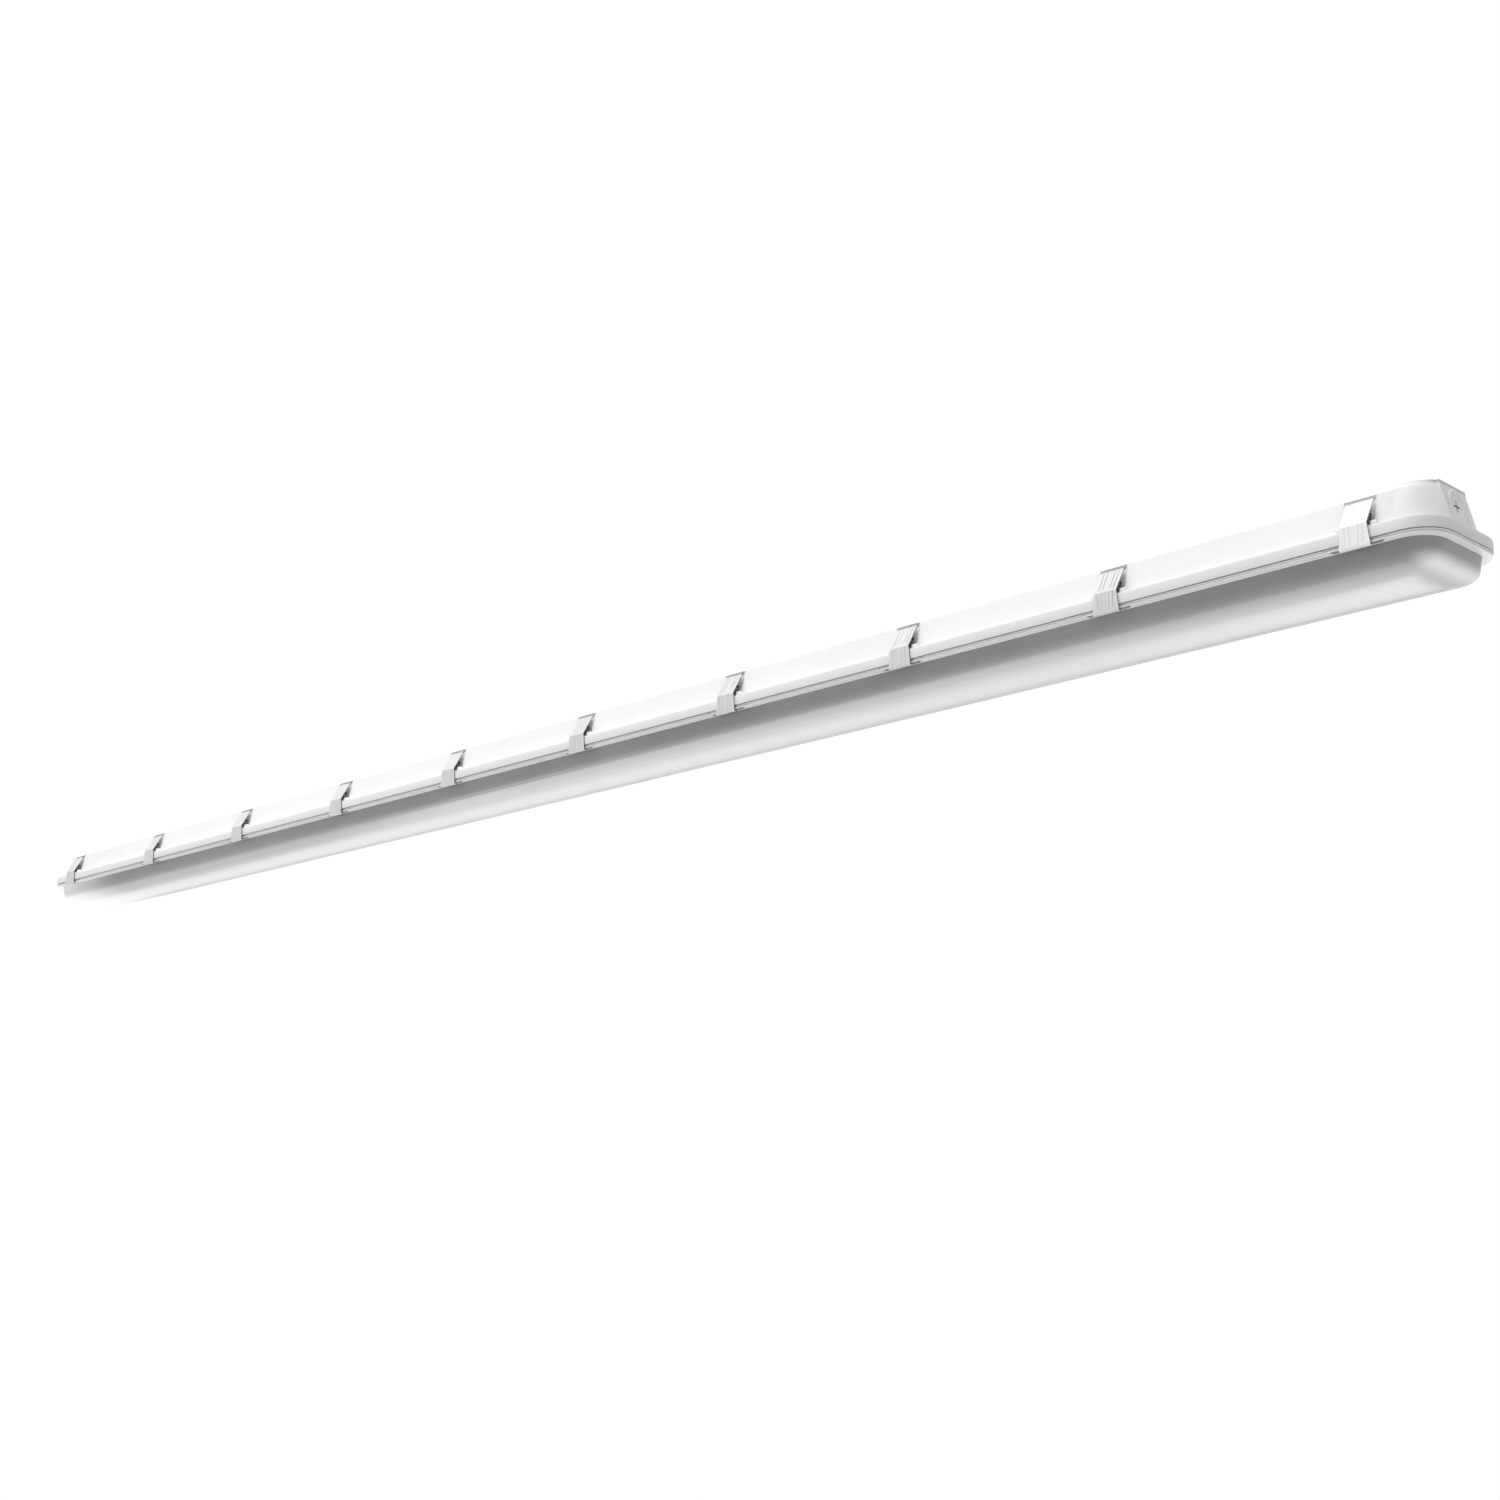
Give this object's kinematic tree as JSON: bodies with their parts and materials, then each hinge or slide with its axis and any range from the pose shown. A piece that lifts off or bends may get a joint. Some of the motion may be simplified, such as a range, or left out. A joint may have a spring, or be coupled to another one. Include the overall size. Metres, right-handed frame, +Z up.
{
  "type": "vapor tight light fixture",
  "caption": "Long enclosed linear light fixture: crowned white housing, frosted diffuser, perimeter seal and steel toggle latches along both long sides.",
  "frame": {"origin": "centre of the housing's flat top face", "axes": "+Z up, out of the top face towards the ceiling; +X along the fixture; the diffuser faces -Z"},
  "size_m": [2.3914, 0.1322, 0.0801],
  "materials": {
    "housing_white": "fine matte",
    "seal_rubber": "matte",
    "diffuser_frosted": "frosted, translucent",
    "latch_stainless": "satin",
    "tray_white": "satin white",
    "board_white": "satin",
    "driver_case": "satin",
    "terminal_plastic": "satin",
    "screw_steel": "satin"
  },
  "bodies": {
    "root": {"housing": "housing_white", "seal": "seal_rubber", "diffuser": "diffuser_frosted", "led_tray": "tray_white", "led_driver": "driver_case", "terminal_block": "terminal_plastic", "led_board_1": "board_white", "tray_screw_1": "screw_steel", "led_board_2": "board_white", "tray_screw_2": "screw_steel", "led_board_3": "board_white", "tray_screw_3": "screw_steel", "led_board_4": "board_white", "tray_screw_4": "screw_steel", "driver_screw_1": "screw_steel", "driver_screw_2": "screw_steel"},
    "bail_front_01": {"bail_front_01": "latch_stainless"},
    "lever_front_01": {"lever_front_01": "latch_stainless"},
    "bail_front_02": {"bail_front_02": "latch_stainless"},
    "lever_front_02": {"lever_front_02": "latch_stainless"},
    "bail_front_03": {"bail_front_03": "latch_stainless"},
    "lever_front_03": {"lever_front_03": "latch_stainless"},
    "bail_front_04": {"bail_front_04": "latch_stainless"},
    "lever_front_04": {"lever_front_04": "latch_stainless"},
    "bail_front_05": {"bail_front_05": "latch_stainless"},
    "lever_front_05": {"lever_front_05": "latch_stainless"},
    "bail_front_06": {"bail_front_06": "latch_stainless"},
    "lever_front_06": {"lever_front_06": "latch_stainless"},
    "bail_front_07": {"bail_front_07": "latch_stainless"},
    "lever_front_07": {"lever_front_07": "latch_stainless"},
    "bail_front_08": {"bail_front_08": "latch_stainless"},
    "lever_front_08": {"lever_front_08": "latch_stainless"},
    "bail_front_09": {"bail_front_09": "latch_stainless"},
    "lever_front_09": {"lever_front_09": "latch_stainless"},
    "bail_front_10": {"bail_front_10": "latch_stainless"},
    "lever_front_10": {"lever_front_10": "latch_stainless"},
    "bail_back_01": {"bail_back_01": "latch_stainless"},
    "lever_back_01": {"lever_back_01": "latch_stainless"},
    "bail_back_02": {"bail_back_02": "latch_stainless"},
    "lever_back_02": {"lever_back_02": "latch_stainless"},
    "bail_back_03": {"bail_back_03": "latch_stainless"},
    "lever_back_03": {"lever_back_03": "latch_stainless"},
    "bail_back_04": {"bail_back_04": "latch_stainless"},
    "lever_back_04": {"lever_back_04": "latch_stainless"},
    "bail_back_05": {"bail_back_05": "latch_stainless"},
    "lever_back_05": {"lever_back_05": "latch_stainless"},
    "bail_back_06": {"bail_back_06": "latch_stainless"},
    "lever_back_06": {"lever_back_06": "latch_stainless"},
    "bail_back_07": {"bail_back_07": "latch_stainless"},
    "lever_back_07": {"lever_back_07": "latch_stainless"},
    "bail_back_08": {"bail_back_08": "latch_stainless"},
    "lever_back_08": {"lever_back_08": "latch_stainless"},
    "bail_back_09": {"bail_back_09": "latch_stainless"},
    "lever_back_09": {"lever_back_09": "latch_stainless"},
    "bail_back_10": {"bail_back_10": "latch_stainless"},
    "lever_back_10": {"lever_back_10": "latch_stainless"}
  },
  "joints": [
    {"name": "bail_front_01_swing", "type": "hinge", "parent": "root", "child": "bail_front_01", "pos_m": [-1.125, -0.0598, -0.0379], "axis": [1, 0, 0], "range_deg": [0, 105]},
    {"name": "lever_front_01_turn", "type": "hinge", "parent": "bail_front_01", "child": "lever_front_01", "pos_m": [-1.125, -0.05739, -0.02809], "axis": [1, 0, 0], "range_deg": [-73.5, 0]},
    {"name": "bail_front_02_swing", "type": "hinge", "parent": "root", "child": "bail_front_02", "pos_m": [-0.875, -0.0598, -0.0379], "axis": [1, 0, 0], "range_deg": [0, 105]},
    {"name": "lever_front_02_turn", "type": "hinge", "parent": "bail_front_02", "child": "lever_front_02", "pos_m": [-0.875, -0.05739, -0.02809], "axis": [1, 0, 0], "range_deg": [-73.5, 0]},
    {"name": "bail_front_03_swing", "type": "hinge", "parent": "root", "child": "bail_front_03", "pos_m": [-0.625, -0.0598, -0.0379], "axis": [1, 0, 0], "range_deg": [0, 105]},
    {"name": "lever_front_03_turn", "type": "hinge", "parent": "bail_front_03", "child": "lever_front_03", "pos_m": [-0.625, -0.05739, -0.02809], "axis": [1, 0, 0], "range_deg": [-73.5, 0]},
    {"name": "bail_front_04_swing", "type": "hinge", "parent": "root", "child": "bail_front_04", "pos_m": [-0.375, -0.0598, -0.0379], "axis": [1, 0, 0], "range_deg": [0, 105]},
    {"name": "lever_front_04_turn", "type": "hinge", "parent": "bail_front_04", "child": "lever_front_04", "pos_m": [-0.375, -0.05739, -0.02809], "axis": [1, 0, 0], "range_deg": [-73.5, 0]},
    {"name": "bail_front_05_swing", "type": "hinge", "parent": "root", "child": "bail_front_05", "pos_m": [-0.125, -0.0598, -0.0379], "axis": [1, 0, 0], "range_deg": [0, 105]},
    {"name": "lever_front_05_turn", "type": "hinge", "parent": "bail_front_05", "child": "lever_front_05", "pos_m": [-0.125, -0.05739, -0.02809], "axis": [1, 0, 0], "range_deg": [-73.5, 0]},
    {"name": "bail_front_06_swing", "type": "hinge", "parent": "root", "child": "bail_front_06", "pos_m": [0.125, -0.0598, -0.0379], "axis": [1, 0, 0], "range_deg": [0, 105]},
    {"name": "lever_front_06_turn", "type": "hinge", "parent": "bail_front_06", "child": "lever_front_06", "pos_m": [0.125, -0.05739, -0.02809], "axis": [1, 0, 0], "range_deg": [-73.5, 0]},
    {"name": "bail_front_07_swing", "type": "hinge", "parent": "root", "child": "bail_front_07", "pos_m": [0.375, -0.0598, -0.0379], "axis": [1, 0, 0], "range_deg": [0, 105]},
    {"name": "lever_front_07_turn", "type": "hinge", "parent": "bail_front_07", "child": "lever_front_07", "pos_m": [0.375, -0.05739, -0.02809], "axis": [1, 0, 0], "range_deg": [-73.5, 0]},
    {"name": "bail_front_08_swing", "type": "hinge", "parent": "root", "child": "bail_front_08", "pos_m": [0.625, -0.0598, -0.0379], "axis": [1, 0, 0], "range_deg": [0, 105]},
    {"name": "lever_front_08_turn", "type": "hinge", "parent": "bail_front_08", "child": "lever_front_08", "pos_m": [0.625, -0.05739, -0.02809], "axis": [1, 0, 0], "range_deg": [-73.5, 0]},
    {"name": "bail_front_09_swing", "type": "hinge", "parent": "root", "child": "bail_front_09", "pos_m": [0.875, -0.0598, -0.0379], "axis": [1, 0, 0], "range_deg": [0, 105]},
    {"name": "lever_front_09_turn", "type": "hinge", "parent": "bail_front_09", "child": "lever_front_09", "pos_m": [0.875, -0.05739, -0.02809], "axis": [1, 0, 0], "range_deg": [-73.5, 0]},
    {"name": "bail_front_10_swing", "type": "hinge", "parent": "root", "child": "bail_front_10", "pos_m": [1.125, -0.0598, -0.0379], "axis": [1, 0, 0], "range_deg": [0, 105]},
    {"name": "lever_front_10_turn", "type": "hinge", "parent": "bail_front_10", "child": "lever_front_10", "pos_m": [1.125, -0.05739, -0.02809], "axis": [1, 0, 0], "range_deg": [-73.5, 0]},
    {"name": "bail_back_01_swing", "type": "hinge", "parent": "root", "child": "bail_back_01", "pos_m": [-1.125, 0.0598, -0.0379], "axis": [-1, 0, 0], "range_deg": [0, 105]},
    {"name": "lever_back_01_turn", "type": "hinge", "parent": "bail_back_01", "child": "lever_back_01", "pos_m": [-1.125, 0.05739, -0.02809], "axis": [-1, 0, 0], "range_deg": [-73.5, 0]},
    {"name": "bail_back_02_swing", "type": "hinge", "parent": "root", "child": "bail_back_02", "pos_m": [-0.875, 0.0598, -0.0379], "axis": [-1, 0, 0], "range_deg": [0, 105]},
    {"name": "lever_back_02_turn", "type": "hinge", "parent": "bail_back_02", "child": "lever_back_02", "pos_m": [-0.875, 0.05739, -0.02809], "axis": [-1, 0, 0], "range_deg": [-73.5, 0]},
    {"name": "bail_back_03_swing", "type": "hinge", "parent": "root", "child": "bail_back_03", "pos_m": [-0.625, 0.0598, -0.0379], "axis": [-1, 0, 0], "range_deg": [0, 105]},
    {"name": "lever_back_03_turn", "type": "hinge", "parent": "bail_back_03", "child": "lever_back_03", "pos_m": [-0.625, 0.05739, -0.02809], "axis": [-1, 0, 0], "range_deg": [-73.5, 0]},
    {"name": "bail_back_04_swing", "type": "hinge", "parent": "root", "child": "bail_back_04", "pos_m": [-0.375, 0.0598, -0.0379], "axis": [-1, 0, 0], "range_deg": [0, 105]},
    {"name": "lever_back_04_turn", "type": "hinge", "parent": "bail_back_04", "child": "lever_back_04", "pos_m": [-0.375, 0.05739, -0.02809], "axis": [-1, 0, 0], "range_deg": [-73.5, 0]},
    {"name": "bail_back_05_swing", "type": "hinge", "parent": "root", "child": "bail_back_05", "pos_m": [-0.125, 0.0598, -0.0379], "axis": [-1, 0, 0], "range_deg": [0, 105]},
    {"name": "lever_back_05_turn", "type": "hinge", "parent": "bail_back_05", "child": "lever_back_05", "pos_m": [-0.125, 0.05739, -0.02809], "axis": [-1, 0, 0], "range_deg": [-73.5, 0]},
    {"name": "bail_back_06_swing", "type": "hinge", "parent": "root", "child": "bail_back_06", "pos_m": [0.125, 0.0598, -0.0379], "axis": [-1, 0, 0], "range_deg": [0, 105]},
    {"name": "lever_back_06_turn", "type": "hinge", "parent": "bail_back_06", "child": "lever_back_06", "pos_m": [0.125, 0.05739, -0.02809], "axis": [-1, 0, 0], "range_deg": [-73.5, 0]},
    {"name": "bail_back_07_swing", "type": "hinge", "parent": "root", "child": "bail_back_07", "pos_m": [0.375, 0.0598, -0.0379], "axis": [-1, 0, 0], "range_deg": [0, 105]},
    {"name": "lever_back_07_turn", "type": "hinge", "parent": "bail_back_07", "child": "lever_back_07", "pos_m": [0.375, 0.05739, -0.02809], "axis": [-1, 0, 0], "range_deg": [-73.5, 0]},
    {"name": "bail_back_08_swing", "type": "hinge", "parent": "root", "child": "bail_back_08", "pos_m": [0.625, 0.0598, -0.0379], "axis": [-1, 0, 0], "range_deg": [0, 105]},
    {"name": "lever_back_08_turn", "type": "hinge", "parent": "bail_back_08", "child": "lever_back_08", "pos_m": [0.625, 0.05739, -0.02809], "axis": [-1, 0, 0], "range_deg": [-73.5, 0]},
    {"name": "bail_back_09_swing", "type": "hinge", "parent": "root", "child": "bail_back_09", "pos_m": [0.875, 0.0598, -0.0379], "axis": [-1, 0, 0], "range_deg": [0, 105]},
    {"name": "lever_back_09_turn", "type": "hinge", "parent": "bail_back_09", "child": "lever_back_09", "pos_m": [0.875, 0.05739, -0.02809], "axis": [-1, 0, 0], "range_deg": [-73.5, 0]},
    {"name": "bail_back_10_swing", "type": "hinge", "parent": "root", "child": "bail_back_10", "pos_m": [1.125, 0.0598, -0.0379], "axis": [-1, 0, 0], "range_deg": [0, 105]},
    {"name": "lever_back_10_turn", "type": "hinge", "parent": "bail_back_10", "child": "lever_back_10", "pos_m": [1.125, 0.05739, -0.02809], "axis": [-1, 0, 0], "range_deg": [-73.5, 0]}
  ],
  "couplings": [
    {"joint": "lever_front_01_turn", "follows": "bail_front_01_swing", "ratio": -0.7},
    {"joint": "lever_front_02_turn", "follows": "bail_front_02_swing", "ratio": -0.7},
    {"joint": "lever_front_03_turn", "follows": "bail_front_03_swing", "ratio": -0.7},
    {"joint": "lever_front_04_turn", "follows": "bail_front_04_swing", "ratio": -0.7},
    {"joint": "lever_front_05_turn", "follows": "bail_front_05_swing", "ratio": -0.7},
    {"joint": "lever_front_06_turn", "follows": "bail_front_06_swing", "ratio": -0.7},
    {"joint": "lever_front_07_turn", "follows": "bail_front_07_swing", "ratio": -0.7},
    {"joint": "lever_front_08_turn", "follows": "bail_front_08_swing", "ratio": -0.7},
    {"joint": "lever_front_09_turn", "follows": "bail_front_09_swing", "ratio": -0.7},
    {"joint": "lever_front_10_turn", "follows": "bail_front_10_swing", "ratio": -0.7},
    {"joint": "lever_back_01_turn", "follows": "bail_back_01_swing", "ratio": -0.7},
    {"joint": "lever_back_02_turn", "follows": "bail_back_02_swing", "ratio": -0.7},
    {"joint": "lever_back_03_turn", "follows": "bail_back_03_swing", "ratio": -0.7},
    {"joint": "lever_back_04_turn", "follows": "bail_back_04_swing", "ratio": -0.7},
    {"joint": "lever_back_05_turn", "follows": "bail_back_05_swing", "ratio": -0.7},
    {"joint": "lever_back_06_turn", "follows": "bail_back_06_swing", "ratio": -0.7},
    {"joint": "lever_back_07_turn", "follows": "bail_back_07_swing", "ratio": -0.7},
    {"joint": "lever_back_08_turn", "follows": "bail_back_08_swing", "ratio": -0.7},
    {"joint": "lever_back_09_turn", "follows": "bail_back_09_swing", "ratio": -0.7},
    {"joint": "lever_back_10_turn", "follows": "bail_back_10_swing", "ratio": -0.7}
  ]
}
